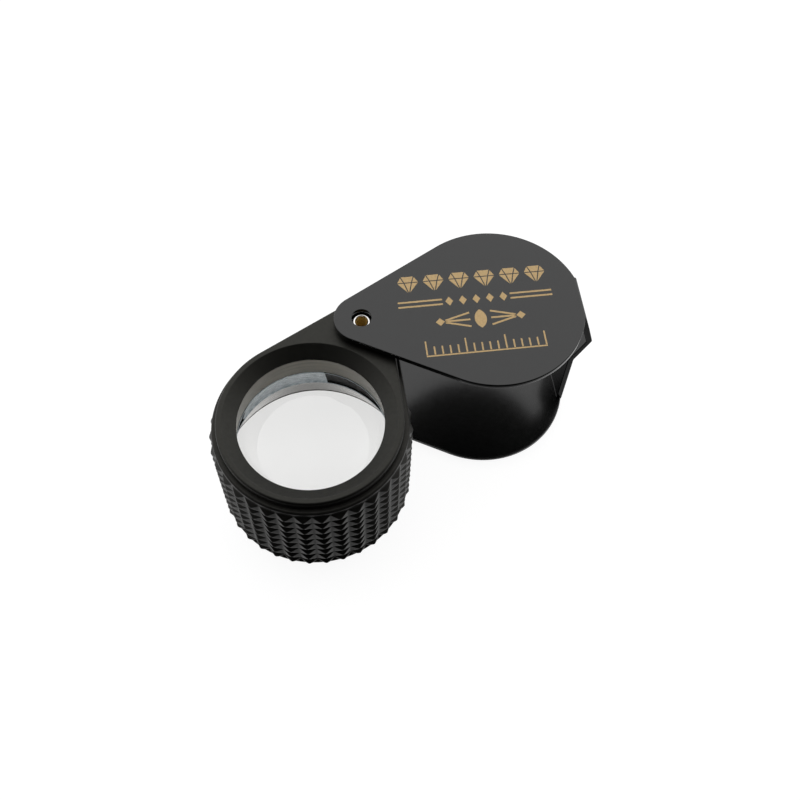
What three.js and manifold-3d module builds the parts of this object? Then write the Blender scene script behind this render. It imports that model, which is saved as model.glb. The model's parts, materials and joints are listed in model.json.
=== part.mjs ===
// Folding jeweller's loupe: a black sheet-metal case folded round a swing-out triplet magnifier.
//
// Units are millimetres and +Z is up. The origin is the centre of the case's round end, on the
// outer face of its lower plate. The pivot lies on the -X side and the folded end on the +X side.
// The holder stands swung open: turned clockwise about the pivot, seen from above.

import * as THREE from 'three';
import { mergeVertices } from 'three/addons/utils/BufferGeometryUtils.js';
import Module from 'manifold-3d';

const wasm = await Module();
wasm.setup();

// ---------- driving dimensions ----------

const LENS_APERTURE = 18;            // clear diameter of the magnifier
const CASE_HEIGHT = 20.5;            // over both plates
const SHEET = 0.75;                  // thickness of the case's sheet
const CASE_RADIUS = 11.8;            // round end of the case
const CASE_PIVOT_RADIUS = 3.5;       // small end of the case
const PIVOT_DISTANCE = 16.8;         // round end's centre to the pivot
const FAR_EDGE = 11.5;               // outer face of the folded end
const STRIP_WIDTH = 6.6;             // width of the sheet that joins the plates

const OPEN_ANGLE = 120.5;            // how far the holder stands open, in degrees
const HOLDER_ARM = 14.9;             // pivot to the optical axis
const HOLDER_RADIUS = 11.4;          // round end of the holder's plates
const HOLDER_PIVOT_RADIUS = 3.7;     // small end of the holder's plates
const HOLDER_PLATE = 1.3;            // thickness of a holder plate
const COUNTERSINK_RADIUS = 10.67;    // conical mouth in a holder plate, at its outer face
const GRIP_RADIUS = 12.5;            // over the rubber grip
const GRIP_RIM_RADIUS = 12.05;       // flat rim at each end of the grip

const WASHER = 0.4;                  // thickness of a pivot washer
const FACE_GAP = 0.05;               // running gap between flat faces
const WASHER_PLAY = 0.15;            // end play of the holder between its washers, per side
const SEGMENTS = 72;                 // facets of a large turned piece
const SMALL_SEGMENTS = 32;           // facets of a piece at the pivot

// ---------- heights that follow from them ----------

const MID_HEIGHT = CASE_HEIGHT / 2;
const HOLDER_TOP = CASE_HEIGHT - SHEET - WASHER - WASHER_PLAY;
const PLATE_UNDERSIDE = HOLDER_TOP - HOLDER_PLATE;
const INSIDE_TOP = PLATE_UNDERSIDE - FACE_GAP;
const APERTURE_RADIUS = LENS_APERTURE / 2;

// ---------- solids ----------

// A geometry as a manifold solid, with its shared vertices merged and slivers left out.
function toSolid(geometry) {
  const bare = geometry.index ? geometry.toNonIndexed() : geometry.clone();
  bare.deleteAttribute('normal');
  bare.deleteAttribute('uv');
  const merged = mergeVertices(bare, 1e-4);
  const triangles = [];
  const index = merged.index.array;
  for (let i = 0; i < index.length; i += 3) {
    const [a, b, c] = [index[i], index[i + 1], index[i + 2]];
    if (a !== b && b !== c && c !== a) triangles.push(a, b, c);
  }
  return new wasm.Manifold(new wasm.Mesh({
    numProp: 3,
    vertProperties: Float32Array.from(merged.attributes.position.array),
    triVerts: Uint32Array.from(triangles),
  }));
}

function toGeometry(solid) {
  const mesh = solid.getMesh();
  const geometry = new THREE.BufferGeometry();
  geometry.setAttribute('position', new THREE.BufferAttribute(mesh.vertProperties, 3));
  geometry.setIndex(new THREE.BufferAttribute(mesh.triVerts, 1));
  geometry.computeVertexNormals();
  return geometry;
}

// A turned piece about +Z. The profile is a list of [radius, height], counter-clockwise, and
// either closes on itself or starts and ends on the axis.
function turned(profile, { segments = SEGMENTS, closed = true } = {}) {
  const points = profile.map(([radius, height]) => new THREE.Vector2(radius, height));
  if (closed) points.push(points[0].clone());
  return toSolid(new THREE.LatheGeometry(points, segments).rotateX(Math.PI / 2));
}

// A plain ring or tube between two heights.
function ring(inner, outer, bottom, top, segments = SEGMENTS) {
  return turned([[inner, bottom], [outer, bottom], [outer, top], [inner, top]], { segments });
}

function rod(radius, bottom, top, segments = SMALL_SEGMENTS) {
  const profile = [[0, bottom], [radius, bottom], [radius, top], [0, top]];
  return turned(profile, { segments, closed: false });
}

// A flat plate from a shape in the XY plane.
function plate(shape, bottom, thickness) {
  const options = { depth: thickness, bevelEnabled: false, curveSegments: 18 };
  return toSolid(new THREE.ExtrudeGeometry(shape, options).translate(0, 0, bottom));
}

// The same solid turned over about the mid height of the loupe.
function mirrored(solid) {
  return solid.translate([0, 0, -MID_HEIGHT]).mirror([0, 0, 1]).translate([0, 0, MID_HEIGHT]);
}

// Teardrop outline: a large arc round the origin, a small one round (-distance, 0), and their
// common tangents. A cut flattens the large arc's far side at x = cut.
function teardrop(large, small, distance, cut = large) {
  const tangent = Math.PI - Math.acos((large - small) / distance);
  const corner = Math.acos(cut / large);
  const shape = new THREE.Shape();
  shape.absarc(0, 0, large, corner, tangent, false);
  shape.absarc(-distance, 0, small, tangent, 2 * Math.PI - tangent, false);
  shape.absarc(0, 0, large, -tangent, -corner, false);
  shape.closePath();
  return shape;
}

// The line that runs at a distance to the left of an open path of [x, y] points.
function offsetPath(path, distance) {
  const point = ([x, y]) => new THREE.Vector2(x, y);
  return path.map((here, i) => {
    const before = point(path[Math.max(i - 1, 0)]);
    const after = point(path[Math.min(i + 1, path.length - 1)]);
    const centre = point(here);
    const normals = [];
    for (const [from, to] of [[before, centre], [centre, after]]) {
      if (from.equals(to)) continue;
      const along = to.clone().sub(from).normalize();
      normals.push(new THREE.Vector2(-along.y, along.x));
    }
    const mitre = normals.reduce((sum, n) => sum.add(n), new THREE.Vector2()).normalize();
    const moved = centre.addScaledVector(mitre, distance / mitre.dot(normals[0]));
    return [moved.x, moved.y];
  });
}

// A closed outline whose corners are each rounded off by a given setback.
function roundedOutline(points, setbacks) {
  const shape = new THREE.Shape();
  const corners = points.map(([x, y]) => new THREE.Vector2(x, y));
  corners.forEach((corner, i) => {
    const before = corners[(i + corners.length - 1) % corners.length];
    const after = corners[(i + 1) % corners.length];
    const enter = corner.clone().add(before.clone().sub(corner).setLength(setbacks[i]));
    const leave = corner.clone().add(after.clone().sub(corner).setLength(setbacks[i]));
    if (i === 0) shape.moveTo(enter.x, enter.y);
    else shape.lineTo(enter.x, enter.y);
    shape.quadraticCurveTo(corner.x, corner.y, leave.x, leave.y);
  });
  shape.closePath();
  return shape;
}

// ---------- case ----------

const RIVET_HOLE = 1.25;             // hole through the plates and the holder
const COLLAR_RADIUS = 1.75;          // outside of the collar drawn inward round the hole
const BULGE_REACH = 1.85;            // how far the folded end bulges outward
const BULGE_HEIGHT = 15;             // height of the bulge's ridge
const BULGE_FOOT = 10.7;             // height where the bulge ends
const SHOULDER_REACH = 0.8;          // the bulge is full above its ridge, out to this shoulder
const SHOULDER_HEIGHT = 18.1;
const STRIP_LAP = 3;                 // length of strip that lies in each plate
const FOLD_RELIEF = 0.05;             // how far the plates' outlines stop short of the folds

// Sheet that joins the two plates: straight below, with a ridge bulged outward above.
function foldedStrip() {
  const outside = [
    [FAR_EDGE - STRIP_LAP, 0],
    [FAR_EDGE, 0],
    [FAR_EDGE, BULGE_FOOT],
    [FAR_EDGE + BULGE_REACH, BULGE_HEIGHT],
    [FAR_EDGE + SHOULDER_REACH, SHOULDER_HEIGHT],
    [FAR_EDGE, CASE_HEIGHT],
    [FAR_EDGE - STRIP_LAP, CASE_HEIGHT],
  ];
  const inside = offsetPath(outside, SHEET);
  const outsideSetbacks = [0.01, 0.5, 0.4, 0.5, 0.5, 0.4, 0.01];
  const insideSetbacks = [0.01, 0.2, 0.4, 0.3, 0.4, 0.2, 0.01];
  const outline = [...outside, ...inside.reverse()];
  const shape = roundedOutline(outline, [...outsideSetbacks, ...insideSetbacks.reverse()]);
  const options = { depth: STRIP_WIDTH, bevelEnabled: false, curveSegments: 3 };
  const geometry = new THREE.ExtrudeGeometry(shape, options);
  return toSolid(geometry.rotateX(Math.PI / 2).translate(0, STRIP_WIDTH / 2, 0));
}

// One plate of the case, with the collar drawn inward round its rivet hole.
function casePlate() {
  const outline = teardrop(CASE_RADIUS, CASE_PIVOT_RADIUS, PIVOT_DISTANCE, FAR_EDGE - FOLD_RELIEF);
  const collarTop = SHEET + WASHER;
  const collar = rod(COLLAR_RADIUS, SHEET / 2, collarTop).translate([-PIVOT_DISTANCE, 0, 0]);
  const hole = rod(RIVET_HOLE, -1, collarTop + 1).translate([-PIVOT_DISTANCE, 0, 0]);
  return plate(outline, 0, SHEET).add(collar).subtract(hole);
}

function caseShell() {
  const lower = casePlate();
  return lower.add(mirrored(lower)).add(foldedStrip());
}

// ---------- pivot ----------

const RIVET_RADIUS = 1.1;            // body of the hollow rivet
const RIVET_RIM = 1.18;              // rolled rim at each end
const RIVET_BORE = 0.78;
const RIVET_INSET = 0.75;            // how far the rivet's ends lie below the case's faces
const RIM_LENGTH = 0.3;
const WASHER_BORE = 1.9;
const WASHER_RADIUS = 3.2;
const BUSH_RADIUS = 2.1;             // tube that spaces the holder's plates at the pivot

function pivotRivet() {
  const bottom = RIVET_INSET;
  const top = CASE_HEIGHT - RIVET_INSET;
  const profile = [
    [RIVET_BORE, bottom],
    [RIVET_RIM, bottom],
    [RIVET_RIM, bottom + RIM_LENGTH],
    [RIVET_RADIUS, bottom + 2 * RIM_LENGTH],
    [RIVET_RADIUS, top - 2 * RIM_LENGTH],
    [RIVET_RIM, top - RIM_LENGTH],
    [RIVET_RIM, top],
    [RIVET_BORE, top],
  ];
  return turned(profile, { segments: SMALL_SEGMENTS });
}

function pivotWasher() {
  const bottom = SHEET + FACE_GAP;
  return ring(WASHER_BORE, WASHER_RADIUS, bottom, bottom + WASHER, SMALL_SEGMENTS);
}

function pivotBush() {
  const bottom = CASE_HEIGHT - INSIDE_TOP;
  return ring(RIVET_HOLE, BUSH_RADIUS, bottom, INSIDE_TOP, SMALL_SEGMENTS);
}

// ---------- holder, in its own frame: pivot at the origin, optical axis at x = HOLDER_ARM ----------

const BARREL_BORE = 9.75;
const BARREL_RADIUS = 10.85;
const GRIP_BORE = 11;
const GRIP_RIM = 0.75;               // thickness of the grip's upper rim
const GRIP_FOOT = 0.4;               // thickness of its lower rim
const GRIP_PIVOT_RADIUS = 4.2;       // small end of both rims
const GRIP_SLOPE = 0.5;              // height over which the band narrows to the upper rim
const BUSH_CLEARANCE = 0.15;         // between the rims and the bush
const RETAINER_BORE = 9.05;
const RETAINER_FOOT = 9.45;          // its bore widens towards the glass
const RETAINER_RADIUS = 9.6;

function holderPlate() {
  const outline = teardrop(HOLDER_RADIUS, HOLDER_PIVOT_RADIUS, HOLDER_ARM);
  const blank = plate(outline, PLATE_UNDERSIDE, HOLDER_PLATE).translate([HOLDER_ARM, 0, 0]);
  const rise = (COUNTERSINK_RADIUS - APERTURE_RADIUS) / HOLDER_PLATE;
  const mouth = turned([
    [0, PLATE_UNDERSIDE - 1],
    [APERTURE_RADIUS, PLATE_UNDERSIDE - 1],
    [APERTURE_RADIUS, PLATE_UNDERSIDE + 0.05],
    [COUNTERSINK_RADIUS + rise, HOLDER_TOP + 1],
    [0, HOLDER_TOP + 1],
  ], { closed: false }).translate([HOLDER_ARM, 0, 0]);
  const hole = rod(RIVET_HOLE, PLATE_UNDERSIDE - 1, HOLDER_TOP + 1);
  return blank.subtract(mouth).subtract(hole);
}

function lensBarrel() {
  return ring(BARREL_BORE, BARREL_RADIUS, CASE_HEIGHT - INSIDE_TOP, INSIDE_TOP);
}

// Rubber sleeve: a gripping band between two flat rims that follow the holder's plates.
function rubberGrip() {
  const bottom = CASE_HEIGHT - INSIDE_TOP;
  const bandTop = INSIDE_TOP - GRIP_RIM;
  const neck = (GRIP_BORE + GRIP_RIM_RADIUS) / 2;
  const band = turned([
    [GRIP_BORE, bottom],
    [GRIP_RADIUS, bottom],
    [GRIP_RADIUS, bandTop - GRIP_SLOPE],
    [GRIP_RIM_RADIUS, bandTop],
    [neck, bandTop],
    [neck, INSIDE_TOP],
    [GRIP_BORE, INSIDE_TOP],
  ]);
  const outline = teardrop(GRIP_RIM_RADIUS, GRIP_PIVOT_RADIUS, HOLDER_ARM);
  const rims = plate(outline, bandTop, GRIP_RIM).add(plate(outline, bottom, GRIP_FOOT));
  const bore = rod(GRIP_BORE, bottom - 1, INSIDE_TOP + 1, SEGMENTS);
  const bushHole = rod(BUSH_RADIUS + BUSH_CLEARANCE, bottom - 1, INSIDE_TOP + 1);
  return band.add(rims.subtract(bore).subtract(bushHole.translate([-HOLDER_ARM, 0, 0])));
}

// ---------- cemented triplet ----------

const LENS_RADIUS = 9.6;
const LENS_EDGE = 3.75;              // half the triplet's thickness at its rim
const CROWN_EDGE = 0.8;              // half the crown's thickness at its rim
const OUTER_CURVATURE = 26;          // radius of the two outer faces
const CEMENT_CURVATURE = 14.5;       // radius of the two cemented faces
const CEMENT = 0.05;
const LENS_RINGS = 4;                // facets from the axis to the rim

// Points of a spherical face from its rim to the axis, bulging upward.
function face(curvature, rimHeight) {
  const rimSag = Math.sqrt(curvature ** 2 - LENS_RADIUS ** 2);
  const points = [];
  for (let i = LENS_RINGS; i >= 0; i -= 1) {
    const radius = (LENS_RADIUS * i) / LENS_RINGS;
    const height = Math.sqrt(curvature ** 2 - radius ** 2) - rimSag;
    points.push([radius, MID_HEIGHT + rimHeight + height]);
  }
  return points;
}

function crownLens() {
  const upper = face(CEMENT_CURVATURE, CROWN_EDGE);
  const lower = upper.map(([radius, height]) => [radius, CASE_HEIGHT - height]).reverse();
  return turned([...lower, ...upper], { closed: false });
}

function flintLens() {
  const inner = face(CEMENT_CURVATURE, CROWN_EDGE + CEMENT).reverse();
  return turned([...inner, ...face(OUTER_CURVATURE, LENS_EDGE)], { closed: false });
}

// Ring that holds the triplet in the barrel; its lower face follows the glass.
function retainingRing() {
  const rimSag = Math.sqrt(OUTER_CURVATURE ** 2 - LENS_RADIUS ** 2);
  const footSag = Math.sqrt(OUTER_CURVATURE ** 2 - RETAINER_FOOT ** 2);
  const seat = MID_HEIGHT + LENS_EDGE + FACE_GAP;
  return turned([
    [RETAINER_FOOT, seat + footSag - rimSag + FACE_GAP],
    [RETAINER_RADIUS, seat],
    [RETAINER_RADIUS, INSIDE_TOP],
    [RETAINER_BORE, INSIDE_TOP],
  ]);
}

// ---------- materials ----------

function finish(color, roughness, metalness) {
  return new THREE.MeshStandardMaterial({ color, roughness, metalness });
}

const satinBlack = finish(0x17181a, 0.35, 0.2);
const rubber = finish(0x141414, 0.6, 0);
const brass = finish(0xb08a45, 0.3, 1);
const nylon = finish(0x2a2a2c, 0.5, 0);
const anodised = finish(0x3a372f, 0.4, 0.6);
const glass = new THREE.MeshStandardMaterial({
  color: 0xf4f7fa,
  roughness: 0.02,
  metalness: 0,
  transparent: true,
  opacity: 0.35,
});

// ---------- assembly ----------

function piece(name, solid, material) {
  const mesh = new THREE.Mesh(toGeometry(solid), material);
  mesh.name = name;
  return mesh;
}

const loupe = new THREE.Group();
loupe.add(piece('case_shell', caseShell(), satinBlack));

const pivot = new THREE.Group();
pivot.position.x = -PIVOT_DISTANCE;
loupe.add(pivot);
pivot.add(piece('pivot_rivet', pivotRivet(), brass));
pivot.add(piece('lower_pivot_washer', pivotWasher(), nylon));
pivot.add(piece('upper_pivot_washer', mirrored(pivotWasher()), nylon));

const holder = new THREE.Group();
holder.rotation.z = THREE.MathUtils.degToRad(-OPEN_ANGLE);
pivot.add(holder);
holder.add(piece('upper_holder_plate', holderPlate(), satinBlack));
holder.add(piece('lower_holder_plate', mirrored(holderPlate()), satinBlack));
holder.add(piece('pivot_bush', pivotBush(), anodised));

const optics = new THREE.Group();
optics.position.x = HOLDER_ARM;
holder.add(optics);
optics.add(piece('lens_barrel', lensBarrel(), anodised));
optics.add(piece('rubber_grip', rubberGrip(), rubber));
optics.add(piece('upper_retaining_ring', retainingRing(), anodised));
optics.add(piece('lower_retaining_ring', mirrored(retainingRing()), anodised));
optics.add(piece('upper_flint_lens', flintLens(), glass));
optics.add(piece('crown_lens', crownLens(), glass));
optics.add(piece('lower_flint_lens', mirrored(flintLens()), glass));

export default loupe;
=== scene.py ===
"""Folding jeweller's loupe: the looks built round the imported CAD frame. Lengths are named in millimetres."""
import math

import bmesh
import bpy
from mathutils import Matrix, Quaternion, Vector
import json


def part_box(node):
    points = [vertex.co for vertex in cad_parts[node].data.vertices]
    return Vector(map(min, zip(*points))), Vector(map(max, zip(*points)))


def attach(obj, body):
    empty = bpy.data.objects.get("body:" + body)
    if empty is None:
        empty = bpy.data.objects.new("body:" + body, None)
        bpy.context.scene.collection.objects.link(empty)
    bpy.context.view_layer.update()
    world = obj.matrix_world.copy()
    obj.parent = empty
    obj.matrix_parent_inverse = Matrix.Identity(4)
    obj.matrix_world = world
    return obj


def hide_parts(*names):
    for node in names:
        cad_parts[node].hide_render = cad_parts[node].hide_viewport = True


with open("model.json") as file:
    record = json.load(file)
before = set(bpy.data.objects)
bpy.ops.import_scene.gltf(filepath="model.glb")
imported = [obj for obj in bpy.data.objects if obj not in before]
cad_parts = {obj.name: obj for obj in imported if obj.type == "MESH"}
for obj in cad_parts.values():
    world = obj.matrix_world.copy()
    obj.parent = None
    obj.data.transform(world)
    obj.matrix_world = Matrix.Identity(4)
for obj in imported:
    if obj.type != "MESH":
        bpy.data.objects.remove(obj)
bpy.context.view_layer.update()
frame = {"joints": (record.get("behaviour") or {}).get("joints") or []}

MM = 0.001

# ---------- dimensions read from the frame ----------


def box_mm(node):
    """Lowest and highest corner of a CAD node, in millimetres."""
    low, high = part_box(node)
    return low / MM, high / MM


CASE_LOW, CASE_HIGH = box_mm("case_shell")
GRIP_LOW, GRIP_HIGH = box_mm("rubber_grip")
PLATE_LOW, PLATE_HIGH = box_mm("upper_holder_plate")
RIVET_LOW, RIVET_HIGH = box_mm("pivot_rivet")
WASHER_LOW, WASHER_HIGH = box_mm("lower_pivot_washer")
BUSH_LOW, BUSH_HIGH = box_mm("pivot_bush")
BARREL_LOW, BARREL_HIGH = box_mm("lens_barrel")

PIVOT = Vector(frame["joints"][0]["pos_m"]) / MM
AXIS = (BARREL_LOW + BARREL_HIGH) / 2              # a point on the optical axis
MID_HEIGHT = CASE_HIGH.z / 2
ARM = (AXIS.xy - PIVOT.xy).length                  # pivot to the optical axis
ARM_ANGLE = math.atan2(AXIS.y - PIVOT.y, AXIS.x - PIVOT.x)
PIVOT_DISTANCE = -PIVOT.x                          # case's round end's centre to the pivot

CASE_RADIUS = CASE_HIGH.y
CASE_PIVOT_RADIUS = PIVOT.x - CASE_LOW.x
FACE_GAP = 0.05                                    # running gap between flat faces
SHEET = WASHER_LOW.z - FACE_GAP                    # thickness of the case's sheet
WASHER = WASHER_HIGH.z - WASHER_LOW.z

# ---------- other dimensions ----------

FAR_EDGE = 11.5                  # outer face of the case's folded end
PLATE_CUT = FAR_EDGE - 0.05      # where the case's plates are cut off flat
STRIP_WIDTH = 6.6
STRIP_LAP = 3.0                  # length of the strip that lies in each plate
BULGE_FOOT = 10.7                # height where the strip begins to lean outward
BULGE_HEIGHT = 15.0              # height of the strip's ridge
SHOULDER_REACH = 0.8             # the strip's shoulder above the ridge
SHOULDER_HEIGHT = 18.1
STRIP_OUTER_BENDS = (0, 0.45, 1.2, 0.45, 3.0, 0.3, 0)    # roundings from the lower lap to the upper one
STRIP_INNER_BENDS = (0, 0.12, 1.2, 0.2, 2.0, 0.1, 0)
CASE_EDGE = 0.13                 # rounding of the sheet's edges
STRIP_EDGE = 0.1

RIVET_HOLE = 1.25
CASE_HOLE_EDGE = 0.1             # rounding of the case's rivet holes
COLLAR_RADIUS = 1.75             # collar drawn inward round the rivet hole
COLLAR_EDGE = 0.08
RIVET_BORE = 0.78
RIVET_BODY = 1.1
RIVET_RIM = 1.18
RIVET_RIM_HEIGHT = 0.3
RIVET_ROLL = 0.18                # rounding of the rolled rims
WASHER_BORE = 1.9
WASHER_RADIUS = 3.2
WASHER_EDGE = 0.06
BUSH_RADIUS = 2.1
BUSH_EDGE = 0.08

HOLDER_RADIUS = 11.4
HOLDER_PIVOT_RADIUS = 3.7
HOLDER_EDGE = 0.28               # rounding of the holder plates' edges
HOLDER_HOLE_EDGE = 0.08
APERTURE_RADIUS = 9.0
APERTURE_HEIGHT = 0.12           # straight wall below the conical mouth
APERTURE_EDGE = 0.08
COUNTERSINK_RADIUS = 10.67       # the conical mouth at the plate's face
COUNTERSINK_EDGE = 0.18

GRIP_RADIUS = 12.5
GRIP_ROOT = 12.0                 # bottom of the grip's grooves
GRIP_BORE = 11.0
GRIP_RIM = 0.75                  # thickness of the upper rim, which follows the holder's plate
GRIP_FOOT = 0.4                  # thickness of the lower rim
GRIP_FOOT_RADIUS = 12.2          # the knurled sleeve at its lower end
GRIP_FOOT_EDGE = 0.1
RIM_RADIUS = 12.05
RIM_PIVOT_RADIUS = 4.2
UPPER_RIM_EDGE = 0.3
LOWER_RIM_EDGE = 0.12
RIM_HOLE_EDGE = 0.05
BUSH_CLEARANCE = 0.15            # between the grip's rims and the bush
KNURL_COLUMNS = 35
KNURL_ROWS = 8.5                 # the last row runs out at the lower end
KNURL_SAMPLES = 12               # mesh steps across one pyramid
KNURL_PHASE = -94.16             # direction of one groove, in degrees
KNURL_END = 0.05                 # height in which the knurl's grooves run out on the lower rim
TIP_FLAT = 0.94                  # share of the pyramids' height that is kept
FIRST_GROOVE = 0.17              # depth of the uppermost groove below the upper rim

LENS_RADIUS = 9.6
LENS_EDGE = 3.75                 # half the triplet's thickness at its rim
CROWN_EDGE = 0.8                 # half the crown's thickness at its rim
OUTER_CURVATURE = 26.0
CEMENT_CURVATURE = 14.5
CEMENT = 0.05
CLEAR_RADIUS = 9.36              # polished part of the lenses' faces
LIT_RIM_MIDDLE = math.radians(109)  # the rims get painted shade but for a stretch round this direction, which glows with painted light
# half the angle of the stretch of painted light on the rims
LIT_RIM_REACH = math.radians(33)
GLASS, CEMENTED, SHADED_RIM, LIT_RIM = range(4)           # order of a lens's materials
RETAINER_BORE = 9.05
RETAINER_FOOT = 9.45             # its bore widens towards the glass
RETAINER_FOOT_EDGE = 0.12
RETAINER_CHAMFER = (0.08, 0.12)  # width and height of the chamfer at the bore's mouth
BARREL_BORE = 9.75
BARREL_RADIUS = 10.85
THREAD_PITCH = 0.5
THREAD_DEPTH = 0.22
THREAD_TURNS = 4
THREAD_START = 0.4               # plain length before the thread, in turns

CUTTER_REACH = 1.0               # how far a cutter reaches past the faces that it cuts
LARGE_ARC_STEPS = 72             # mesh steps along half of a teardrop's large arc
SMALL_ARC_STEPS = 48
SMALL_SEGMENTS = 64              # mesh steps round the rivet, the bush and small holes
WASHER_SEGMENTS = 96
BARREL_SEGMENTS = 128
LENS_SEGMENTS = 160
MOUTH_SEGMENTS = 192

# ---------- meshes ----------


def rounded_corner(before, corner, after, radius, steps=4):
    """Points of the arc that rounds one corner of a polyline in two dimensions."""
    corner = Vector(corner)
    into = (Vector(before) - corner).normalized()
    out = (Vector(after) - corner).normalized()
    if radius <= 0 or abs(into.dot(out)) > 0.9999:
        return [tuple(corner)]
    half = into.angle(out) / 2
    centre = corner + (into + out).normalized() * radius / math.sin(half)
    start = corner + into * radius / math.tan(half) - centre
    end = corner + out * radius / math.tan(half) - centre
    sweep = start.angle_signed(end)
    points = []
    for i in range(steps + 1):
        angle = -sweep * i / steps
        c, s = math.cos(angle), math.sin(angle)
        points.append((centre.x + start.x * c - start.y * s, centre.y + start.x * s + start.y * c))
    return points


def rounded(profile, steps=4):
    """A closed profile of (a, b, radius) corners as a list of (a, b) points."""
    points = []
    for i, (a, b, radius) in enumerate(profile):
        before = profile[i - 1][:2]
        after = profile[(i + 1) % len(profile)][:2]
        points += rounded_corner(before, (a, b), after, radius, steps)
    return points


def make(name, vertices, faces, tags=None):
    """A new object from vertices in millimetres, with its faces turned outward."""
    mesh = bpy.data.meshes.new(name)
    mesh.from_pydata([Vector(v) * MM for v in vertices], [], faces)
    if tags:
        mesh.polygons.foreach_set("material_index", tags)
    work = bmesh.new()
    work.from_mesh(mesh)
    bmesh.ops.remove_doubles(work, verts=work.verts, dist=1e-8)
    bmesh.ops.recalc_face_normals(work, faces=work.faces)
    work.to_mesh(mesh)
    work.free()
    obj = bpy.data.objects.new(name, mesh)
    bpy.context.scene.collection.objects.link(obj)
    return obj


def turned(name, profile, centre, segments, tag=None):
    """A solid of revolution from a closed list of (radius, height). Points on the axis are shared.

    tag(k, angle) gives the material of the faces after the profile's point k.
    """
    vertices, rings = [], []
    for radius, height in profile:
        count = 1 if radius < 1e-6 else segments
        rings.append([len(vertices) + i for i in range(count)])
        for i in range(count):
            angle = 2 * math.pi * i / segments
            x, y = radius * math.cos(angle), radius * math.sin(angle)
            vertices.append((centre.x + x, centre.y + y, height))
    faces, tags = [], []
    for k, ring in enumerate(rings):
        above = rings[(k + 1) % len(rings)]
        if len(ring) == 1 and len(above) == 1:
            continue
        for i in range(segments):
            j = (i + 1) % segments
            low = [ring[i % len(ring)], ring[j % len(ring)]]
            high = [above[j % len(above)], above[i % len(above)]]
            faces.append(list(dict.fromkeys(low + high)))
            tags.append(tag(k, 2 * math.pi * i / segments) if tag else 0)
    return make(name, vertices, faces, tags)


def prism(name, outline_at, bottom, top, edge, steps=4):
    """A flat plate with rounded edges. outline_at(inset) gives its outline drawn in by an inset."""
    levels = []
    for i in range(steps + 1):
        angle = math.pi / 2 * i / steps
        levels.append((edge * (1 - math.sin(angle)), bottom + edge * (1 - math.cos(angle))))
    levels += [(inset, bottom + top - height) for inset, height in reversed(levels)]
    vertices, loops = [], []
    for inset, height in levels:
        outline = outline_at(inset)
        loops.append(range(len(vertices), len(vertices) + len(outline)))
        vertices += [(x, y, height) for x, y in outline]
    count = len(loops[0])
    faces = [list(loops[0])[::-1], list(loops[-1])]
    for low, high in zip(loops, loops[1:]):
        for i in range(count):
            j = (i + 1) % count
            faces.append([low[i], low[j], high[j], high[i]])
    return make(name, vertices, faces)


def arc(centre, radius, start, end, steps):
    """Points along an arc, both ends included, angles in radians."""
    angles = [start + (end - start) * i / steps for i in range(steps + 1)]
    return [(centre[0] + radius * math.cos(a), centre[1] + radius * math.sin(a)) for a in angles]


def teardrop(large, small, distance, cut=None):
    """Outline of a large arc round the origin and a small one round (-distance, 0), with tangents."""
    tangent = math.pi - math.acos((large - small) / distance)
    corner = math.acos(cut / large) if cut else 0
    points = arc((0, 0), large, corner, tangent, LARGE_ARC_STEPS)
    points += arc((-distance, 0), small, tangent, 2 * math.pi - tangent, SMALL_ARC_STEPS)
    points += arc((0, 0), large, -tangent, -corner, LARGE_ARC_STEPS)
    return points if cut else points[:-1]


def applied(obj):
    """Applies an object's modifiers."""
    graph = bpy.context.evaluated_depsgraph_get()
    mesh = bpy.data.meshes.new_from_object(obj.evaluated_get(graph))
    obj.modifiers.clear()
    obj.data = mesh
    return obj


def boolean(obj, others, operation):
    """Joins or cuts an object with others, which are used up."""
    for other in others:
        modifier = obj.modifiers.new(operation.lower(), "BOOLEAN")
        modifier.operation = operation
        modifier.solver = "EXACT"
        modifier.object = other
    bpy.context.view_layer.update()
    applied(obj)
    for other in others:
        bpy.data.objects.remove(other)
    return obj


def smooth(obj, angle=32, weighted=True):
    """Smooth shading that keeps sharp edges and leaves flat faces flat."""
    mesh = obj.data
    mesh.polygons.foreach_set("use_smooth", [True] * len(mesh.polygons))
    mesh.set_sharp_from_angle(angle=math.radians(angle))
    if weighted:
        modifier = obj.modifiers.new("weighted", "WEIGHTED_NORMAL")
        modifier.keep_sharp = True
        modifier.weight = 90
    mesh.update()
    return obj


def mirrored(obj, name):
    """A copy turned over about the loupe's mid height."""
    mesh = obj.data.copy()
    flip = Matrix.Translation((0, 0, 2 * MID_HEIGHT * MM)) @ Matrix.Scale(-1, 4, (0, 0, 1))
    mesh.transform(flip)
    mesh.flip_normals()
    copy = bpy.data.objects.new(name, mesh)
    bpy.context.scene.collection.objects.link(copy)
    return copy


def hole_cutter(radius, centre, bottom, top, edge):
    """A round cutter that leaves a hole with rounded edges at both faces."""
    far = CUTTER_REACH
    low = rounded_corner((radius, bottom + far), (radius, bottom), (radius + far, bottom), edge)
    high = [(r, bottom + top - z) for r, z in reversed(low)]
    profile = [(0, bottom - far), (low[-1][0], bottom - far), *reversed(low)]
    profile += [*reversed(high), (low[-1][0], top + far), (0, top + far)]
    return turned("hole", profile, centre, SMALL_SEGMENTS)


# ---------- case ----------


def case_outline(inset):
    """Outline of the case's plates, drawn in by an inset and cut off flat at the folded end."""
    return teardrop(CASE_RADIUS - inset, CASE_PIVOT_RADIUS - inset, PIVOT_DISTANCE, PLATE_CUT - inset)


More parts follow.
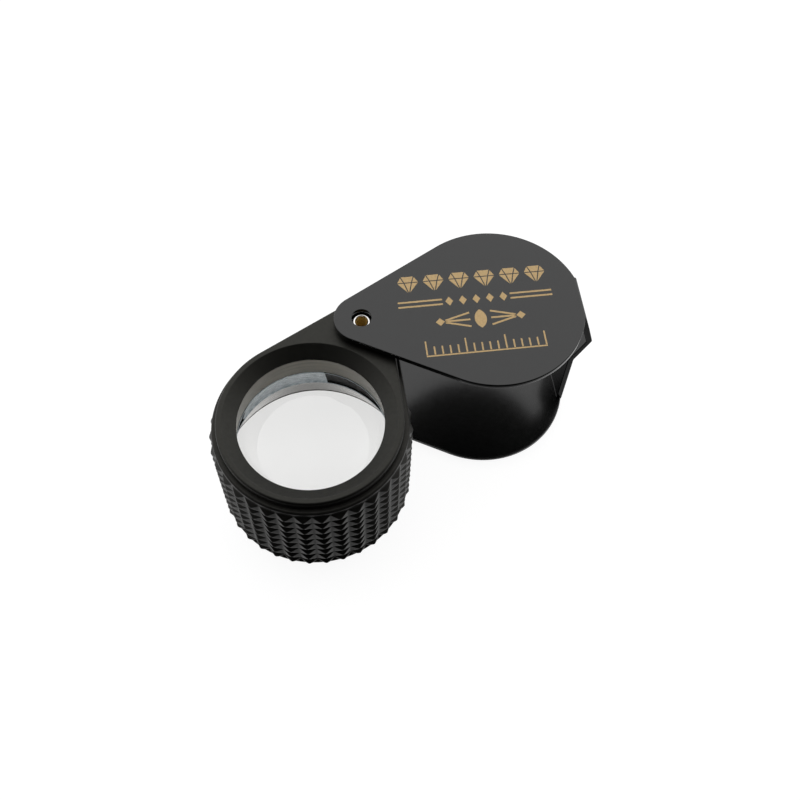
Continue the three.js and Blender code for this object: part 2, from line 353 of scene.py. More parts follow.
def case_plate(name):
    """Lower plate of the case: rounded edges and a collar drawn inward round the rivet hole."""
    plate = prism(name, case_outline, 0, SHEET, CASE_EDGE)
    root, top = SHEET / 2, SHEET + WASHER
    corners = [(0, root, 0), (COLLAR_RADIUS, root, 0), (COLLAR_RADIUS, top, COLLAR_EDGE), (0, top, 0)]
    boolean(plate, [turned("collar", rounded(corners), PIVOT, SMALL_SEGMENTS)], "UNION")
    return boolean(plate, [hole_cutter(RIVET_HOLE, PIVOT, 0, top, CASE_HOLE_EDGE)], "DIFFERENCE")


def offset_path(path, distance):
    """The polyline that runs at a distance to the left of another."""
    moved = []
    for i, here in enumerate(path):
        before = Vector(path[max(i - 1, 0)])
        after = Vector(path[min(i + 1, len(path) - 1)])
        here = Vector(here)
        sides = [(b - a).normalized() for a, b in ((before, here), (here, after)) if (b - a).length > 0]
        normals = [Vector((-s.y, s.x)) for s in sides]
        mitre = sum(normals, Vector((0, 0))).normalized()
        moved.append(here + mitre * distance / mitre.dot(normals[0]))
    return moved


def folded_strip():
    """The sheet that joins the case's plates, bent outward to a ridge above its middle."""
    outer = [
        (FAR_EDGE - STRIP_LAP, 0),
        (FAR_EDGE, 0),
        (FAR_EDGE, BULGE_FOOT),
        (CASE_HIGH.x, BULGE_HEIGHT),
        (FAR_EDGE + SHOULDER_REACH, SHOULDER_HEIGHT),
        (FAR_EDGE, CASE_HIGH.z),
        (FAR_EDGE - STRIP_LAP, CASE_HIGH.z),
    ]
    inner = offset_path(outer, SHEET)
    profile = [(x, z, bend) for (x, z), bend in zip(outer, STRIP_OUTER_BENDS)]
    profile += [(x, z, bend) for (x, z), bend in zip(inner, STRIP_INNER_BENDS)][::-1]
    points = rounded(profile, 6)
    count = len(points)
    half = STRIP_WIDTH / 2
    vertices = [(x, y, z) for y in (-half, half) for x, z in points]
    faces = [list(range(count)), list(range(2 * count - 1, count - 1, -1))]
    faces += [[i, (i + 1) % count, count + (i + 1) % count, count + i] for i in range(count)]
    strip = make("strip", vertices, faces)
    bevel = strip.modifiers.new("bevel", "BEVEL")
    bevel.width = STRIP_EDGE * MM
    bevel.segments = 3
    bevel.limit_method = "ANGLE"
    bevel.angle_limit = math.radians(50)
    bevel.use_clamp_overlap = False
    bpy.context.view_layer.update()
    return applied(strip)


def case_shell():
    """The case's two plates and the strip that joins them."""
    lower = case_plate("case_shell_sheet")
    upper = mirrored(lower, "upper")
    return smooth(boolean(lower, [upper, folded_strip()], "UNION"))


# ---------- print on the case: generic ornament, no lettering ----------

INK = 0.012                      # thickness of the ink
INK_SINK = 0.004                 # how far its underside lies in the paint


class Print:
    """Gathers flat inked shapes and makes one thin mesh of them."""

    def __init__(self):
        self.vertices = []
        self.faces = []

    def fill(self, outline):
        """A filled convex outline."""
        start, count = len(self.vertices), len(outline)
        for height in (CASE_HIGH.z - INK_SINK, CASE_HIGH.z + INK):
            self.vertices += [(x, y, height) for x, y in outline]
        self.faces.append(list(range(start + count - 1, start - 1, -1)))
        self.faces.append(list(range(start + count, start + 2 * count)))
        for i in range(count):
            j = (i + 1) % count
            self.faces.append([start + i, start + j, start + count + j, start + count + i])

    def stroke(self, a, b, width):
        """A straight bar from a to b."""
        a, b = Vector(a), Vector(b)
        along = (b - a).normalized()
        side = Vector((-along.y, along.x)) * width / 2
        self.fill([tuple(p) for p in (a - side, b - side, b + side, a + side)])

    def facet(self, outline, gap):
        """A convex outline given counter-clockwise, filled but for half a gap along its edges."""
        inner = []
        for i, here in enumerate(outline):
            here = Vector(here)
            into = (here - Vector(outline[i - 1])).normalized()
            out = (Vector(outline[(i + 1) % len(outline)]) - here).normalized()
            normal = Vector((-into.y, into.x))
            mitre = (normal + Vector((-out.y, out.x))).normalized()
            inner.append(tuple(here + mitre * gap / 2 / mitre.dot(normal)))
        self.fill(inner)

    def lozenge(self, x, y, half_width, half_height):
        """A lozenge round the point (x, y)."""
        self.fill([(x - half_width, y), (x, y - half_height), (x + half_width, y), (x, y + half_height)])


ROW_LEFT, ROW_RIGHT = -12.0, 7.9     # ends of the widest row
GEMS = 6
GEM_ROW = (2.9, 5.75)                # lower and upper edge of the row of cut stones
GEM_FILL = 0.88                      # a stone's width as a share of their pitch
GEM_CROWN = 0.36                     # height of its crown as a share of its height
GEM_TABLE = 0.6                      # width of its table as a share of its width
GEM_FACET = 0.34                     # width of its middle facet, likewise
GEM_GAP = 0.14                       # bare line between a stone's facets
RULES = (0.95, 1.67)                 # heights of the two rules
RULE_WIDTH = 0.26
RULE_INNER = (-6.3, 2.45)            # where the rules stop on each side of the middle
LOZENGES = 5
LOZENGE = (0.5, 0.7)                 # half its width and half its height
LENS_ROW = (-3.15, -0.35)
LENS_ROW_ENDS = (-7.6, 3.9)
DRAWN_LENS = 1.1                     # the drawn lens's thickness, as a share of half its height
RAY_START = 0.95                     # the rays' distance from the lens's middle, likewise
RAY_STOP = 0.9                       # their distance from the row's end, likewise
RAY_LOZENGE = 0.42                   # half the width of the lozenge that they point at, likewise
RAY_SPREAD = (0.75, 0.1125)          # how far the outer rays are off the middle where they start and stop
SCALE_ROW = (-6.65, -4.45)
SCALE_START = -9.3
SCALE_LENGTH = 15
SCALE_SHORT = 0.62                   # a short mark as a share of a long one
SCALE_FOOT = 0.16                    # height above the base line's middle where the marks start
SCALE_WIDTH = 0.2


def gem(ink, x, low, high, width, gap):
    """A cut stone seen from the side: facets between its table, girdle and point."""
    half, girdle = width / 2, high - (high - low) * GEM_CROWN
    edges = [x - half, x - half * GEM_FACET, x + half * GEM_FACET, x + half]
    table = [x - half * GEM_TABLE] * 2 + [x + half * GEM_TABLE] * 2
    for i in range(3):
        crown = [(edges[i], girdle), (edges[i + 1], girdle), (table[i + 1], high), (table[i], high)]
        ink.facet(list(dict.fromkeys(crown)), gap)
        ink.facet([(edges[i], girdle), (x, low), (edges[i + 1], girdle)], gap)


def lens_section(x, middle, half, thickness):
    """Outline of a double convex lens in section, standing on edge, with its axis along X."""
    radius = (half * half + thickness * thickness / 4) / thickness
    reach = math.asin(half / radius)
    shift = radius - thickness / 2
    right = arc((x - shift, middle), radius, -reach, reach, 12)
    left = arc((x + shift, middle), radius, math.pi - reach, math.pi + reach, 12)
    return [*right, *left[1:-1]]


def lens_diagram(ink, left, right, low, high, line):
    """A lens whose rays come to a point in a lozenge at each side."""
    centre, middle = (left + right) / 2, (low + high) / 2
    half = (high - low) / 2
    ink.fill(lens_section(centre, middle, half, half * DRAWN_LENS))
    size = half * RAY_LOZENGE
    for side, end in ((-1, left), (1, right)):
        start = centre + side * half * RAY_START
        tip = end - side * half * RAY_STOP
        for ray in (-1, 0, 1):
            wide, narrow = (middle + ray * half * share for share in RAY_SPREAD)
            ink.stroke((start, wide), (tip, narrow), line)
        ink.lozenge(end - side * size, middle, size, size)


def case_print():
    """Four rows: cut stones, rules with lozenges, a lens with its rays, and a scale in millimetres."""
    ink = Print()
    pitch = (ROW_RIGHT - ROW_LEFT) / GEMS
    for i in range(GEMS):
        gem(ink, ROW_LEFT + pitch * (i + 0.5), *GEM_ROW, pitch * GEM_FILL, GEM_GAP)
    for height in RULES:
        ink.stroke((ROW_LEFT, height), (RULE_INNER[0], height), RULE_WIDTH)
        ink.stroke((RULE_INNER[1], height), (ROW_RIGHT, height), RULE_WIDTH)
    span = RULE_INNER[1] - RULE_INNER[0]
    for i in range(LOZENGES):
        ink.lozenge(RULE_INNER[0] + span * (i + 0.5) / LOZENGES, sum(RULES) / 2, *LOZENGE)
    lens_diagram(ink, *LENS_ROW_ENDS, *LENS_ROW, RULE_WIDTH)
    base, half = SCALE_ROW[0], SCALE_WIDTH / 2
    ink.stroke((SCALE_START - half, base), (SCALE_START + SCALE_LENGTH + half, base), SCALE_WIDTH)
    for i in range(SCALE_LENGTH + 1):
        x = SCALE_START + i
        rise = (SCALE_ROW[1] - base) * (1 if i % 5 == 0 else SCALE_SHORT)
        ink.stroke((x, base + SCALE_FOOT), (x, base + rise), SCALE_WIDTH)
    return make("case_print", ink.vertices, ink.faces)


# ---------- pivot ----------


def ring_profile(inner, outer, bottom, top, edge):
    """Profile of a flat ring or a tube with rounded edges."""
    return rounded([(inner, bottom, edge), (outer, bottom, edge), (outer, top, edge), (inner, top, edge)])


def pivot_rivet():
    """Hollow rivet: bright rolled rims on a brass tube."""
    bottom, top, step = RIVET_LOW.z, RIVET_HIGH.z, RIVET_RIM_HEIGHT
    corners = [
        (RIVET_BORE, bottom, RIVET_ROLL),
        (RIVET_RIM, bottom, RIVET_ROLL),
        (RIVET_RIM, bottom + step, 0.05),
        (RIVET_BODY, bottom + 2 * step, 0),
        (RIVET_BODY, top - 2 * step, 0),
        (RIVET_RIM, top - step, 0.05),
        (RIVET_RIM, top, RIVET_ROLL),
        (RIVET_BORE, top, RIVET_ROLL),
    ]
    profile = rounded(corners, 5)

    def tag(k, angle):
        """The rims outside the bore are bright, and the rest is brass."""
        radius, height = profile[k]
        near_end = min(height - bottom, top - height) < 2 * step
        return 0 if near_end and radius > RIVET_BORE + 0.02 else 1

    return smooth(turned("rivet", profile, PIVOT, SMALL_SEGMENTS, tag))


# ---------- holder ----------


def holder_outline(large, small):
    """A function that gives a teardrop on the holder, turned to where the holder stands."""
    c, s = math.cos(ARM_ANGLE), math.sin(ARM_ANGLE)

    def outline_at(inset):
        outline = teardrop(large - inset, small - inset, ARM)
        return [(AXIS.x + x * c - y * s, AXIS.y + x * s + y * c) for x, y in outline]

    return outline_at


def holder_plate():
    """Upper plate of the holder, with a conical mouth round the glass."""
    bottom, top, far = PLATE_LOW.z, PLATE_HIGH.z, CUTTER_REACH
    outline_at = holder_outline(HOLDER_RADIUS, HOLDER_PIVOT_RADIUS)
    plate = prism("upper_holder", outline_at, bottom, top, HOLDER_EDGE)
    start = (APERTURE_RADIUS, bottom - far)
    shoulder = (APERTURE_RADIUS, bottom + APERTURE_HEIGHT)
    mouth = (COUNTERSINK_RADIUS, top)
    profile = [(0, bottom - far), start]
    profile += rounded_corner(start, shoulder, mouth, APERTURE_EDGE)
    profile += rounded_corner(shoulder, mouth, (COUNTERSINK_RADIUS + far, top), COUNTERSINK_EDGE)
    profile += [(profile[-1][0], top + far), (0, top + far)]
    cutters = [turned("mouth", profile, AXIS, MOUTH_SEGMENTS)]
    cutters.append(hole_cutter(RIVET_HOLE, PIVOT, bottom, top, HOLDER_HOLE_EDGE))
    return smooth(boolean(plate, cutters, "DIFFERENCE"))


def lens_barrel():
    """Barrel with fine threads for the retaining rings at each end of its bore."""
    bottom, top = BARREL_LOW.z, BARREL_HIGH.z
    profile = [(BARREL_RADIUS, bottom), (BARREL_RADIUS, top)]
    for end, step in ((top, -THREAD_PITCH), (bottom, THREAD_PITCH)):
        thread = [(BARREL_BORE, end)]
        for i in range(THREAD_TURNS):
            start = end + step * (i + THREAD_START)
            thread.append((BARREL_BORE, start))
            thread.append((BARREL_BORE + THREAD_DEPTH, start + step / 2))
            thread.append((BARREL_BORE, start + step))
        profile += thread if step < 0 else thread[::-1]
    return smooth(turned("barrel", profile, AXIS, BARREL_SEGMENTS), 25)


def retaining_ring():
    """Ring that holds the triplet: its bore has a chamfered mouth and widens down to the glass."""
    rim_sag = math.sqrt(OUTER_CURVATURE ** 2 - LENS_RADIUS ** 2)
    foot_sag = math.sqrt(OUTER_CURVATURE ** 2 - RETAINER_FOOT ** 2)
    seat = MID_HEIGHT + LENS_EDGE + FACE_GAP
    top = BARREL_HIGH.z
    foot = seat + foot_sag - rim_sag + FACE_GAP
    corners = [
        (RETAINER_FOOT, foot, RETAINER_FOOT_EDGE),
        (LENS_RADIUS, seat, 0.03),
        (LENS_RADIUS, top, 0.05),
        (RETAINER_BORE + RETAINER_CHAMFER[0], top, 0.02),
        (RETAINER_BORE, top - RETAINER_CHAMFER[1], 0.03),
    ]
    return smooth(turned("upper_retainer", rounded(corners, 3), AXIS, MOUTH_SEGMENTS))


def grip_rim(name, bottom, top, edge):
    """Flat rim at an end of the sleeve, with holes for the barrel and the pivot's bush."""
    outline_at = holder_outline(RIM_RADIUS, RIM_PIVOT_RADIUS)
    rim = prism(name, outline_at, bottom, top, edge, 6)
    cutters = [hole_cutter(GRIP_BORE, AXIS, bottom, top, RIM_HOLE_EDGE)]
    cutters.append(hole_cutter(BUSH_RADIUS + BUSH_CLEARANCE, PIVOT, bottom, top, RIM_HOLE_EDGE))
    return smooth(boolean(rim, cutters, "DIFFERENCE"))


def knurled_sleeve():
    """Rubber band of square pyramids in columns and rows, between the two rims."""
    bottom, top = GRIP_LOW.z + GRIP_FOOT, GRIP_HIGH.z - GRIP_RIM
    first = top - FIRST_GROOVE
    pitch = (first - bottom) / KNURL_ROWS
    around = KNURL_COLUMNS * KNURL_SAMPLES
    rows = int(KNURL_ROWS * KNURL_SAMPLES)
    # Each level has a radius, a height and the share of the tips' height that a column may rise there.
    levels = [(GRIP_BORE, top, 0), (GRIP_ROOT, top, 0)]
    plain = len(levels)
    for i in range(rows + 1):
        across = 2 * ((i / KNURL_SAMPLES) % 1) - 1
        levels.append((GRIP_ROOT, first - pitch * i / KNURL_SAMPLES, 1 - abs(across)))
    levels.append((GRIP_FOOT_RADIUS, bottom - KNURL_END, 0))
    levels.append((GRIP_FOOT_RADIUS, GRIP_LOW.z + GRIP_FOOT_EDGE, 0))
    levels.append((GRIP_FOOT_RADIUS - GRIP_FOOT_EDGE, GRIP_LOW.z, 0))
    levels.append((GRIP_BORE, GRIP_LOW.z, 0))
    rise = (GRIP_RADIUS - GRIP_ROOT) / TIP_FLAT
    vertices = []
    for radius, height, share in levels:
        for i in range(around):
            along = 1 - abs(2 * ((i / KNURL_SAMPLES) % 1) - 1)
            out = radius + rise * min(share, along, TIP_FLAT)
            angle = math.radians(KNURL_PHASE) + 2 * math.pi * i / around
            vertices.append((AXIS.x + out * math.cos(angle), AXIS.y + out * math.sin(angle), height))
    faces = []
    half = KNURL_SAMPLES // 2
    for k in range(len(levels)):
        low = (k + 1) % len(levels)
        for i in range(around):
            j = (i + 1) % around
            a, b, c, d = k * around + i, k * around + j, low * around + j, low * around + i
            falling = ((k - plain) // half + i // half) % 2 == 0    # along the pyramids' edges
            faces += [[a, b, c], [a, c, d]] if falling else [[a, b, d], [b, c, d]]
    return smooth(make("knurled_sleeve", vertices, faces), 70, weighted=False)


# ---------- cemented triplet ----------


def face_points(curvature, rim_height, steps=28):
    """Points of a spherical face from its rim to the axis, bulging upward."""
    rim_sag = math.sqrt(curvature ** 2 - LENS_RADIUS ** 2)
    radii = [LENS_RADIUS, RETAINER_FOOT, *[CLEAR_RADIUS * i / steps for i in range(steps, -1, -1)]]
    sags = [math.sqrt(curvature ** 2 - radius ** 2) - rim_sag for radius in radii]
    return [(radius, MID_HEIGHT + rim_height + sag) for radius, sag in zip(radii, sags)]


def lens(name, lower, upper, tags):
    """One lens from its two faces, each listed from the rim to the axis. tags: lower and upper face."""
    profile = [*reversed(lower), *upper]
    edge = len(lower) - 1                          # the face after this point is the rim

    def tag(k, angle):
        """A free face glows with painted light in a line beside the ring's foot. Between that line and the
        rim, and on the rim itself, it gets painted shade but for a stretch round one direction, which glows
        with painted light.
        """
        if k < edge:
            return tags[0]
        if k > edge + 2 or (k > edge and tags[1] != GLASS):
            return tags[1]
        painted_light = k == edge + 2 or abs(math.remainder(angle - LIT_RIM_MIDDLE, 2 * math.pi)) < LIT_RIM_REACH
        return LIT_RIM if painted_light else SHADED_RIM

    return smooth(turned(name, profile, AXIS, LENS_SEGMENTS, tag), 40, weighted=False)


def flint_lens():
    """Upper outer lens."""
    inner = face_points(CEMENT_CURVATURE, CROWN_EDGE + CEMENT)
    outer = face_points(OUTER_CURVATURE, LENS_EDGE)
    return lens("upper_flint", inner, outer, (CEMENTED, GLASS))


def crown_lens():
    """Middle lens, the same above and below."""
    upper = face_points(CEMENT_CURVATURE, CROWN_EDGE)
    lower = [(radius, 2 * MID_HEIGHT - height) for radius, height in upper]
    return lens("crown", lower, upper, (CEMENTED, CEMENTED))


# ---------- materials ----------


class Material:
    """A principled material whose colour and roughness vary in grains of noise."""

    def __init__(self, name, roughness, **sockets):
        self.data = bpy.data.materials.new(name)
        self.data.use_nodes = True
        self.nodes = self.data.node_tree.nodes
        self.links = self.data.node_tree.links
        self.shader = self.nodes["Principled BSDF"]
        self.shader.inputs["Roughness"].default_value = roughness
        for label, value in sockets.items():
            self.shader.inputs[label.replace("_", " ")].default_value = value
        self.place = self.nodes.new("ShaderNodeTexCoord").outputs["Object"]

    def noise(self, size, detail=4, stretch=(1, 1, 1)):
        """Noise whose grains are about size millimetres across."""
        mapping = self.nodes.new("ShaderNodeMapping")
        mapping.inputs["Scale"].default_value = stretch
        self.links.new(self.place, mapping.inputs["Vector"])
        texture = self.nodes.new("ShaderNodeTexNoise")
        texture.inputs["Scale"].default_value = 1 / (size * MM)
        texture.inputs["Detail"].default_value = detail
        self.links.new(mapping.outputs["Vector"], texture.inputs["Vector"])
        return texture.outputs["Fac"]

    def colours(self, source, dark, light, low=0.3, high=0.7):
        """Base colour from a value: dark up to low, light from high on, and blended between them."""
        ramp = self.nodes.new("ShaderNodeValToRGB")
        for element, position, colour in zip(ramp.color_ramp.elements, (low, high), (dark, light)):
            element.position = position
            element.color = (*colour, 1)
        self.links.new(source, ramp.inputs["Fac"])
        self.links.new(ramp.outputs["Color"], self.shader.inputs["Base Color"])
        return ramp.outputs["Color"]

    def vary_roughness(self, source, low, high):
        """Roughness between two values, from a noise."""
        spread = self.nodes.new("ShaderNodeMapRange")
        spread.inputs["From Min"].default_value = 0.3
        spread.inputs["From Max"].default_value = 0.7
        spread.inputs["To Min"].default_value = low
        spread.inputs["To Max"].default_value = high
        self.links.new(source, spread.inputs["Value"])
        self.links.new(spread.outputs["Result"], self.shader.inputs["Roughness"])

    def bump(self, source, height):
        """Surface relief of a height in millimetres."""
        bump = self.nodes.new("ShaderNodeBump")
        bump.inputs["Strength"].default_value = 1.0
        bump.inputs["Distance"].default_value = height * MM
        self.links.new(source, bump.inputs["Height"])
        self.links.new(bump.outputs["Normal"], self.shader.inputs["Normal"])


def case_paint():
    """Satin black baked paint with a faint orange peel."""
    paint = Material("satin_black_paint", 0.18, Specular_IOR_Level=0.54)
    paint.colours(paint.noise(1.6, 6), (0.0012, 0.0014, 0.0013), (0.0026, 0.0030, 0.0028))
    paint.vary_roughness(paint.noise(0.5, 5), 0.16, 0.2)
    paint.bump(paint.noise(0.3, 3), 0.0005)
    return paint.data


def holder_paint():
    """Black anodised aluminium, a little warmer and duller than the case."""
    paint = Material("black_anodising", 0.46, Specular_IOR_Level=0.38, Specular_Tint=(1, 0.99, 0.9, 1))
    paint.colours(paint.noise(1.1, 6), (0.0018, 0.0017, 0.0014), (0.0040, 0.0037, 0.0031))
    paint.vary_roughness(paint.noise(0.4, 5), 0.4, 0.52)
    paint.bump(paint.noise(0.25, 3), 0.0002)
    return paint.data


def grip_rubber():
    """Black rubber with a fine grain."""
    rubber = Material("soft_rubber", 0.34, Specular_IOR_Level=0.22, Specular_Tint=(1, 0.98, 0.9, 1))
    rubber.colours(rubber.noise(0.8, 6), (0.011, 0.0108, 0.0098), (0.019, 0.0184, 0.0168))
    rubber.vary_roughness(rubber.noise(0.3, 5), 0.3, 0.4)
    rubber.bump(rubber.noise(0.15, 4), 0.0008)
    return rubber.data


def retainer_bronze():
    """Dark bronze anodising with faint turning marks that run round the ring."""
    bronze = Material("bronze_anodising", 0.34, Metallic=0.4)
    marks = bronze.noise(0.5, 3, (0.08, 0.08, 1))
    bronze.colours(marks, (0.135, 0.124, 0.092), (0.205, 0.19, 0.145))
    bronze.vary_roughness(marks, 0.32, 0.42)
    return bronze.data


def lower_ring_painted_light():
    """Light metal for the lower retaining ring in place of the upper ring's bronze: painted light, so that the
    ring shows through the glass as a light line.
    """
    metal = Material("lower_ring_painted_light", 0.3, Metallic=1.0)
    marks = metal.noise(0.5, 3, (0.08, 0.08, 1))
    metal.colours(marks, (0.84, 0.83, 0.81), (0.94, 0.93, 0.91))
    metal.vary_roughness(marks, 0.24, 0.36)
    return metal.data


def barrel_black():
    """Blackened metal with turning marks, for the barrel and the bush."""
    black = Material("barrel_black", 0.5, Specular_IOR_Level=0.4)
    black.colours(black.noise(0.6, 5), (0.012, 0.011, 0.010), (0.022, 0.020, 0.018))
    black.bump(black.noise(0.2, 2, (0.05, 0.05, 1)), 0.003)
    return black.data


def nickel():
    """Bright plating of the rivet's rims."""
    metal = Material("nickel_plate", 0.14, Metallic=1.0)
    metal.colours(metal.noise(0.2, 4), (0.72, 0.70, 0.68), (0.86, 0.85, 0.84))
    metal.vary_roughness(metal.noise(0.1, 4), 0.1, 0.22)
    return metal.data


def brass():
    """Tarnished brass of the rivet's tube."""
    metal = Material("brass", 0.5, Metallic=0.25)
    metal.colours(metal.noise(0.3, 5), (0.62, 0.46, 0.16), (0.86, 0.68, 0.30))
    metal.vary_roughness(metal.noise(0.15, 4), 0.35, 0.6)
    return metal.data


def nylon():
    """Black plastic of the pivot's washers."""
    plastic = Material("black_nylon", 0.45, Specular_IOR_Level=0.4)
    plastic.colours(plastic.noise(0.4, 4), (0.014, 0.014, 0.015), (0.022, 0.022, 0.024))
    return plastic.data


def gold_ink():
    """Matt gold ink of the ornament."""
    ink = Material("gold_ink", 0.42, Specular_IOR_Level=0.4)
    ink.colours(ink.noise(0.25, 6), (0.50, 0.335, 0.145), (0.62, 0.43, 0.195))
    ink.vary_roughness(ink.noise(0.1, 4), 0.36, 0.55)
    ink.bump(ink.noise(0.08, 3), 0.003)
    return ink.data


def glass():
    """Polished glass, faintly uneven."""
    clear = Material("clear_glass", 0.0, Transmission_Weight=1.0, IOR=1.52)
    clear.colours(clear.noise(4, 3), (0.818, 0.817, 0.810), (0.834, 0.833, 0.826))
    clear.vary_roughness(clear.noise(2.5, 5), 0.0, 0.012)
    return clear.data


def cement():
    """The cemented faces let light through without bending it."""
    material = bpy.data.materials.new("lens_cement")
    material.use_nodes = True
    nodes, links = material.node_tree.nodes, material.node_tree.links
    nodes.remove(nodes["Principled BSDF"])
    clear = nodes.new("ShaderNodeBsdfTransparent")
    links.new(clear.outputs["BSDF"], nodes["Material Output"].inputs["Surface"])
    return material


def rim_painted_shade():
    """Painted shade: near black on the lenses' ground rims wherever the painted light does not fall."""
    edge = Material("rim_painted_shade", 0.5, Specular_IOR_Level=0.05)
    edge.colours(edge.noise(0.3, 5), (0.004, 0.004, 0.004), (0.012, 0.012, 0.012))
    return edge.data


def rim_painted_light():
    """Painted light: a glowing grey on a stretch of the lenses' ground rims and in a line beside the ring's
    foot, standing in for stray light through the glass.
    """
    edge = Material("rim_painted_light", 0.4, Emission_Strength=0.42)
    grains = edge.noise(0.7, 5, (1, 1, 2.5))
    colour = edge.colours(grains, (0.22, 0.26, 0.28), (0.52, 0.56, 0.58), 0.35, 0.65)
    edge.links.new(colour, edge.shader.inputs["Emission Color"])
    return edge.data


# ---------- assembly ----------


def assign(obj, materials, body, nodes=()):
    """Gives a piece its materials, its body and the CAD nodes that it stands for."""
    for material in materials:
        obj.data.materials.append(material)
    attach(obj, body)
    if nodes:
        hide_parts(*nodes)


def assemble_case():
    """The folded shell with its print, and what stays with it at the pivot."""
    assign(case_shell(), [case_paint()], "case", ["case_shell"])
    assign(case_print(), [gold_ink()], "case")
    assign(pivot_rivet(), [nickel(), brass()], "case", ["pivot_rivet"])

    plastic = nylon()
    profile = ring_profile(WASHER_BORE, WASHER_RADIUS, WASHER_LOW.z, WASHER_HIGH.z, WASHER_EDGE)
    washer = smooth(turned("lower_washer", profile, PIVOT, WASHER_SEGMENTS))
    upper_washer = smooth(mirrored(washer, "upper_washer"))
    assign(washer, [plastic], "case", ["lower_pivot_washer"])
    assign(upper_washer, [plastic], "case", ["upper_pivot_washer"])


def assemble_holder():
    """The holder's plates, bush and barrel, and the rubber sleeve in its three pieces."""
    anodised = holder_paint()
    plate = holder_plate()
    lower_plate = smooth(mirrored(plate, "lower_holder"))
    assign(plate, [anodised], "lens_holder", ["upper_holder_plate"])
    assign(lower_plate, [anodised], "lens_holder", ["lower_holder_plate"])

    blackened = barrel_black()
    profile = ring_profile(RIVET_HOLE, BUSH_RADIUS, BUSH_LOW.z, BUSH_HIGH.z, BUSH_EDGE)
    bush = smooth(turned("bush", profile, PIVOT, SMALL_SEGMENTS))
    assign(bush, [blackened], "lens_holder", ["pivot_bush"])
    assign(lens_barrel(), [blackened], "lens_holder", ["lens_barrel"])

    rubber = grip_rubber()
    sleeve = knurled_sleeve()
    upper_rim = grip_rim("upper_grip_rim", GRIP_HIGH.z - GRIP_RIM, GRIP_HIGH.z, UPPER_RIM_EDGE)
    lower_rim = grip_rim("lower_grip_rim", GRIP_LOW.z, GRIP_LOW.z + GRIP_FOOT, LOWER_RIM_EDGE)
    for piece in (sleeve, upper_rim, lower_rim):
        assign(piece, [rubber], "lens_holder", ["rubber_grip"])


def assemble_optics():
    """The three cemented lenses between their retaining rings."""
    ring = retaining_ring()
    lower_ring = smooth(mirrored(ring, "lower_retainer"))
    assign(ring, [retainer_bronze()], "lens_holder", ["upper_retaining_ring"])
    # the lower ring gets a lighter metal than the upper one, as painted light seen through the glass
    assign(lower_ring, [lower_ring_painted_light()], "lens_holder", ["lower_retaining_ring"])

    optics = [glass(), cement(), rim_painted_shade(), rim_painted_light()]      # in the order of the slots: glass, cement, painted shade on the rims, painted light on the rims
    flint = flint_lens()
    lower_flint = smooth(mirrored(flint, "lower_flint"), 40, weighted=False)
    assign(flint, optics, "lens_holder", ["upper_flint_lens"])
    assign(crown_lens(), optics, "lens_holder", ["crown_lens"])
    assign(lower_flint, optics, "lens_holder", ["lower_flint_lens"])


# ---------- floor, light and camera ----------

FLOOR_SIZE = 1500.0
FLOOR_GLOW = 0.92                # the floor is a light table
FLOOR_ALBEDO = 0.15
SKY = 1.55                       # brightness of the white surroundings
DARK_AZIMUTH = -3.0              # middle of the dark front, in degrees
DARK_ELEVATION = 10.0
DARK_WITHIN = 50.0               # black within this angle of its middle
LIGHT_BEYOND = 110.0             # fully bright beyond this one
BELOW = 0.6                      # share of the light that comes from below the horizon
HORIZON = (-0.2, 0.5)            # sines of the elevations between which the light grows to its full share
CAMERA_AIM = Vector((-12.53, -6.59, 10.25))
CAMERA_DISTANCE = 131.2
CAMERA_AZIMUTH = -9.03
CAMERA_ELEVATION = 60.22
CAMERA_ROLL = 2.25
CAMERA_LENS = 44.76
CAMERA_SENSOR = 36.0
CAMERA_CLIP = (0.005, 10.0)      # in metres


def toward(azimuth, elevation):
    """Unit vector from the object towards a viewer at these angles, in degrees."""
    a, e = math.radians(azimuth), math.radians(elevation)
    return Vector((math.sin(a) * math.cos(e), -math.cos(a) * math.cos(e), math.sin(e)))


def make_floor():
    """White floor that glows towards the camera and through the glass, and lights nothing else."""
    half = FLOOR_SIZE / 2
    corners = [(-half, -half, 0), (half, -half, 0), (half, half, 0), (-half, half, 0)]
    floor = make("floor", corners, [[0, 1, 2, 3]])
    white = Material("floor_white", 0.8, Emission_Color=(1, 1, 1, 1), Emission_Strength=FLOOR_GLOW)
    white.colours(white.noise(30, 3), (FLOOR_ALBEDO,) * 3, (FLOOR_ALBEDO + 0.02,) * 3)
    floor.data.materials.append(white.data)
    floor.visible_glossy = False
    floor.visible_diffuse = False


def eased(tree, source, limits, values):
    """A value that goes smoothly from one to another as its source goes between two limits."""
    spread = tree.nodes.new("ShaderNodeMapRange")
    spread.interpolation_type = "SMOOTHSTEP"
    spread.inputs["From Min"].default_value, spread.inputs["From Max"].default_value = limits
    spread.inputs["To Min"].default_value, spread.inputs["To Max"].default_value = values
    tree.links.new(source, spread.inputs["Value"])
    return spread.outputs["Result"]


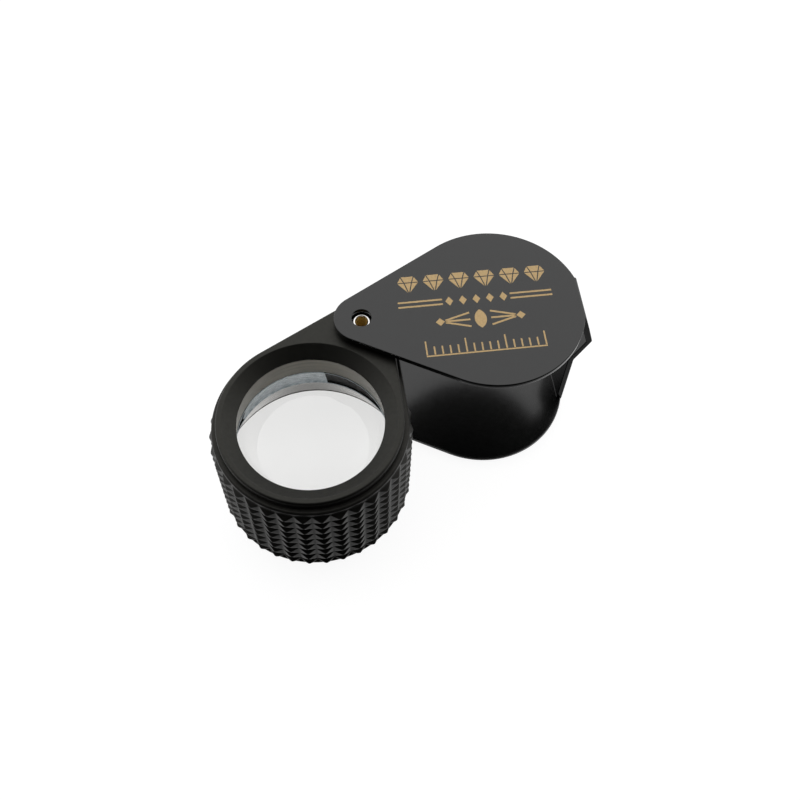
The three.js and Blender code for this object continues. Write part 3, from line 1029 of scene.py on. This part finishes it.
def make_world():
    """White surroundings that darken smoothly towards the front, where nothing lights the object."""
    world = bpy.data.worlds.new("studio")
    bpy.context.scene.world = world
    world.use_nodes = True
    nodes, links = world.node_tree.nodes, world.node_tree.links
    background = nodes["Background"]
    direction = nodes.new("ShaderNodeTexCoord").outputs["Generated"]
    dot = nodes.new("ShaderNodeVectorMath")
    dot.operation = "DOT_PRODUCT"
    dot.inputs[1].default_value = toward(DARK_AZIMUTH, DARK_ELEVATION)
    links.new(direction, dot.inputs[0])
    lit, dark = (math.cos(math.radians(angle)) for angle in (LIGHT_BEYOND, DARK_WITHIN))
    front = eased(world.node_tree, dot.outputs["Value"], (lit, dark), (SKY, 0.0))
    height = nodes.new("ShaderNodeSeparateXYZ")
    links.new(direction, height.inputs[0])
    below = eased(world.node_tree, height.outputs["Z"], HORIZON, (BELOW, 1.0))
    product = nodes.new("ShaderNodeMath")
    product.operation = "MULTIPLY"
    links.new(front, product.inputs[0])
    links.new(below, product.inputs[1])
    seen = nodes.new("ShaderNodeLightPath").outputs["Is Camera Ray"]
    pick = nodes.new("ShaderNodeMix")
    pick.inputs["B"].default_value = SKY
    links.new(seen, pick.inputs["Factor"])
    links.new(product.outputs["Value"], pick.inputs["A"])
    links.new(pick.outputs["Result"], background.inputs["Strength"])
    background.inputs["Color"].default_value = (1, 1, 1, 1)


def make_camera():
    """Camera that looks down at the object from the front."""
    data = bpy.data.cameras.new("camera")
    data.lens = CAMERA_LENS
    data.sensor_width = CAMERA_SENSOR
    data.clip_start, data.clip_end = CAMERA_CLIP
    camera = bpy.data.objects.new("camera", data)
    bpy.context.scene.collection.objects.link(camera)
    back = toward(CAMERA_AZIMUTH, CAMERA_ELEVATION)
    camera.location = (CAMERA_AIM + back * CAMERA_DISTANCE) * MM
    camera.rotation_mode = "QUATERNION"
    roll = Quaternion((0, 0, 1), math.radians(CAMERA_ROLL))
    camera.rotation_quaternion = (-back).to_track_quat("-Z", "Y") @ roll
    bpy.context.scene.camera = camera


assemble_case()
assemble_holder()
assemble_optics()
make_floor()
make_world()
make_camera()
bpy.context.scene.view_settings.view_transform = "Standard"
